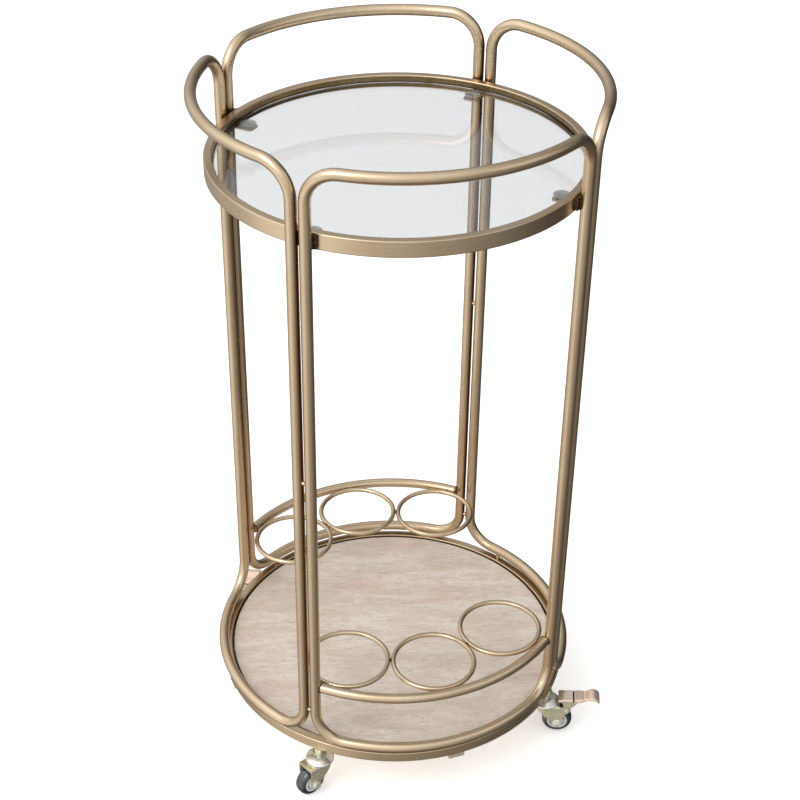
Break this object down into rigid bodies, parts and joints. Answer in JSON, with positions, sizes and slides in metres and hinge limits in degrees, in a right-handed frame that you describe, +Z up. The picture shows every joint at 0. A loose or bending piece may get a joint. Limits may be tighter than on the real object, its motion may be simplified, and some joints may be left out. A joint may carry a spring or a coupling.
{
  "type": "bar cart",
  "caption": "Round bar cart with a glass top tray, bent tube frame, lower shelf with bottle rings and swivel casters with brake pedals",
  "frame": {"origin": "on the floor, under the middle of the cart", "axes": "+Z up, -Y the front, +X to the right of the front"},
  "size_m": [0.4524, 0.4524, 0.847],
  "materials": {
    "gold_tube": "brushed antique gold",
    "glass": "clear tempered",
    "clear_pad": "clear soft plastic",
    "pale_wood": "pale grained board",
    "zinc": "yellow zinc plated",
    "pedal_plate": "copper gold plated",
    "tyre": "black rubber",
    "hub": "white"
  },
  "bodies": {
    "frame": {"loop_front": "gold_tube", "loop_right": "gold_tube", "loop_back": "gold_tube", "loop_left": "gold_tube", "upper_ring": "gold_tube", "lower_ring": "gold_tube", "leg_spacer_front_left_upper": "gold_tube", "leg_spacer_front_left_lower": "gold_tube", "glass_tab_front_left": "gold_tube", "glass_pad_front_left": "clear_pad", "leg_spacer_front_right_upper": "gold_tube", "leg_spacer_front_right_lower": "gold_tube", "glass_tab_front_right": "gold_tube", "glass_pad_front_right": "clear_pad", "leg_spacer_back_right_upper": "gold_tube", "leg_spacer_back_right_lower": "gold_tube", "glass_tab_back_right": "gold_tube", "glass_pad_back_right": "clear_pad", "leg_spacer_back_left_upper": "gold_tube", "leg_spacer_back_left_lower": "gold_tube", "glass_tab_back_left": "gold_tube", "glass_pad_back_left": "clear_pad", "glass_top": "glass", "lower_panel": "pale_wood", "panel_support_cross": "zinc", "gallery_rail_front": "gold_tube", "bottle_ring_front_1": "gold_tube", "bottle_ring_front_2": "gold_tube", "bottle_ring_front_3": "gold_tube", "gallery_rail_back": "gold_tube", "bottle_ring_back_1": "gold_tube", "bottle_ring_back_2": "gold_tube", "bottle_ring_back_3": "gold_tube", "caster_front_left_stem": "zinc", "caster_front_right_stem": "zinc", "caster_back_right_stem": "zinc", "caster_back_left_stem": "zinc"},
    "caster_front_left_swivel": {"caster_front_left_fork": "zinc", "caster_front_left_axle": "zinc"},
    "caster_front_left_wheel": {"caster_front_left_tyre": "tyre", "caster_front_left_hub": "hub"},
    "caster_front_right_swivel": {"caster_front_right_fork": "zinc", "caster_front_right_axle": "zinc", "caster_front_right_brake_pin": "zinc"},
    "caster_front_right_wheel": {"caster_front_right_tyre": "tyre", "caster_front_right_hub": "hub"},
    "caster_front_right_brake": {"caster_front_right_pedal": "pedal_plate"},
    "caster_back_right_swivel": {"caster_back_right_fork": "zinc", "caster_back_right_axle": "zinc"},
    "caster_back_right_wheel": {"caster_back_right_tyre": "tyre", "caster_back_right_hub": "hub"},
    "caster_back_left_swivel": {"caster_back_left_fork": "zinc", "caster_back_left_axle": "zinc", "caster_back_left_brake_pin": "zinc"},
    "caster_back_left_wheel": {"caster_back_left_tyre": "tyre", "caster_back_left_hub": "hub"},
    "caster_back_left_brake": {"caster_back_left_pedal": "pedal_plate"}
  },
  "joints": [
    {"name": "caster_front_left_swivel_turn", "type": "hinge", "parent": "frame", "child": "caster_front_left_swivel", "pos_m": [-0.14576, -0.15907, 0.0457], "axis": [0, 0, 1], "continuous": true},
    {"name": "caster_front_left_wheel_roll", "type": "hinge", "parent": "caster_front_left_swivel", "child": "caster_front_left_wheel", "pos_m": [-0.16045, -0.1654, 0.019], "axis": [0.3955, -0.9184, 0], "continuous": true},
    {"name": "caster_front_right_swivel_turn", "type": "hinge", "parent": "frame", "child": "caster_front_right_swivel", "pos_m": [0.15907, -0.14576, 0.0457], "axis": [0, 0, 1], "continuous": true},
    {"name": "caster_front_right_wheel_roll", "type": "hinge", "parent": "caster_front_right_swivel", "child": "caster_front_right_wheel", "pos_m": [0.1739, -0.15175, 0.019], "axis": [0.3746, 0.9272, 0], "continuous": true},
    {"name": "caster_front_right_brake_press", "type": "hinge", "parent": "caster_front_right_swivel", "child": "caster_front_right_brake", "pos_m": [0.18364, -0.15569, 0.0405], "axis": [0.3746, 0.9272, 0], "range_deg": [0, 14]},
    {"name": "caster_back_right_swivel_turn", "type": "hinge", "parent": "frame", "child": "caster_back_right_swivel", "pos_m": [0.14576, 0.15907, 0.0457], "axis": [0, 0, 1], "continuous": true},
    {"name": "caster_back_right_wheel_roll", "type": "hinge", "parent": "caster_back_right_swivel", "child": "caster_back_right_wheel", "pos_m": [0.16045, 0.1654, 0.019], "axis": [-0.3955, 0.9184, 0], "continuous": true},
    {"name": "caster_back_left_swivel_turn", "type": "hinge", "parent": "frame", "child": "caster_back_left_swivel", "pos_m": [-0.15907, 0.14576, 0.0457], "axis": [0, 0, 1], "continuous": true},
    {"name": "caster_back_left_wheel_roll", "type": "hinge", "parent": "caster_back_left_swivel", "child": "caster_back_left_wheel", "pos_m": [-0.1536, 0.16079, 0.019], "axis": [-0.9397, 0.342, 0], "continuous": true},
    {"name": "caster_back_left_brake_press", "type": "hinge", "parent": "caster_back_left_swivel", "child": "caster_back_left_brake", "pos_m": [-0.15, 0.17066, 0.0405], "axis": [-0.9397, 0.342, 0], "range_deg": [0, 14]}
  ]
}
